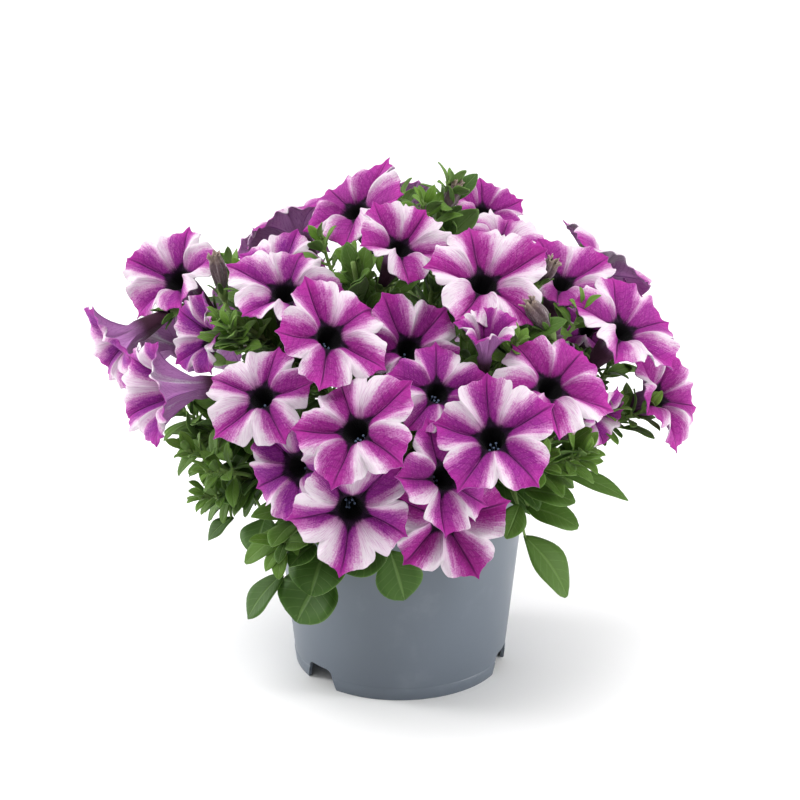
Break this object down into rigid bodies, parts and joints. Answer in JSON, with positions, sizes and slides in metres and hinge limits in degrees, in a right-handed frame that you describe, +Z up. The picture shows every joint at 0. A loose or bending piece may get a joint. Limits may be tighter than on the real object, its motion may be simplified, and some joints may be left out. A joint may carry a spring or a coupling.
{
  "type": "petunia in a standing nursery pot",
  "caption": "Mounded petunia with ruffled magenta and white trumpet blooms, buds, leafy stems and soil, in a plain round grey plastic nursery pot that stands on a surface.",
  "frame": {"origin": "on the ground under the pot's middle foot, on the pot's axis", "axes": "+Z up along the pot's axis, -Y towards the side with the most blooms, +X to the right seen from there"},
  "size_m": [0.2894, 0.2695, 0.2422],
  "materials": {
    "pot": "satin blue-grey injection-moulded plastic",
    "soil": "rough crumbly dark peat",
    "green": "matte, finely hairy leaves, stems and sepals",
    "petal": "soft satin petals, magenta rays fading to near white, black-purple throat",
    "spent_petal": "dry, wrinkled, brown-purple"
  },
  "bodies": {
    "root": {"pot": "pot", "soil": "soil", "stem_front": "green", "stem_front_left": "green", "stem_left_low": "green", "stem_left": "green", "stem_left_high": "green", "stem_top_left": "green", "stem_top": "green", "stem_right_high": "green", "stem_front_right": "green", "stem_right": "green", "stem_back_right": "green", "stem_back": "green", "stem_back_left": "green", "bloom_01": "petal", "bloom_02": "petal", "bloom_03": "petal", "bloom_04": "petal", "bloom_05": "petal", "bloom_06": "petal", "bloom_07": "petal", "bloom_08": "petal", "bloom_09": "petal", "bloom_10": "petal", "bloom_11": "petal", "bloom_12": "petal", "bloom_13": "petal", "bloom_14": "petal", "bloom_15": "petal", "bloom_16": "petal", "bloom_17": "petal", "bloom_18": "petal", "bloom_19": "petal", "bloom_20": "petal", "bloom_21": "petal", "bloom_22": "petal", "bloom_23": "petal", "bloom_24": "petal", "bloom_25": "petal", "bloom_26": "petal", "bloom_27": "petal", "bloom_28": "petal", "bloom_29": "petal", "bloom_30": "petal", "bloom_31": "petal", "bloom_32": "petal", "bloom_33": "petal", "bloom_34": "petal", "bloom_35": "petal", "bloom_36": "petal", "bloom_37": "petal", "bloom_38": "petal", "bloom_39": "petal", "spent_bloom_01": "spent_petal", "spent_bloom_02": "spent_petal", "spent_bloom_03": "spent_petal", "spent_bloom_04": "spent_petal", "spent_bloom_05": "spent_petal", "spent_bloom_06": "spent_petal"}
  },
  "joints": []
}
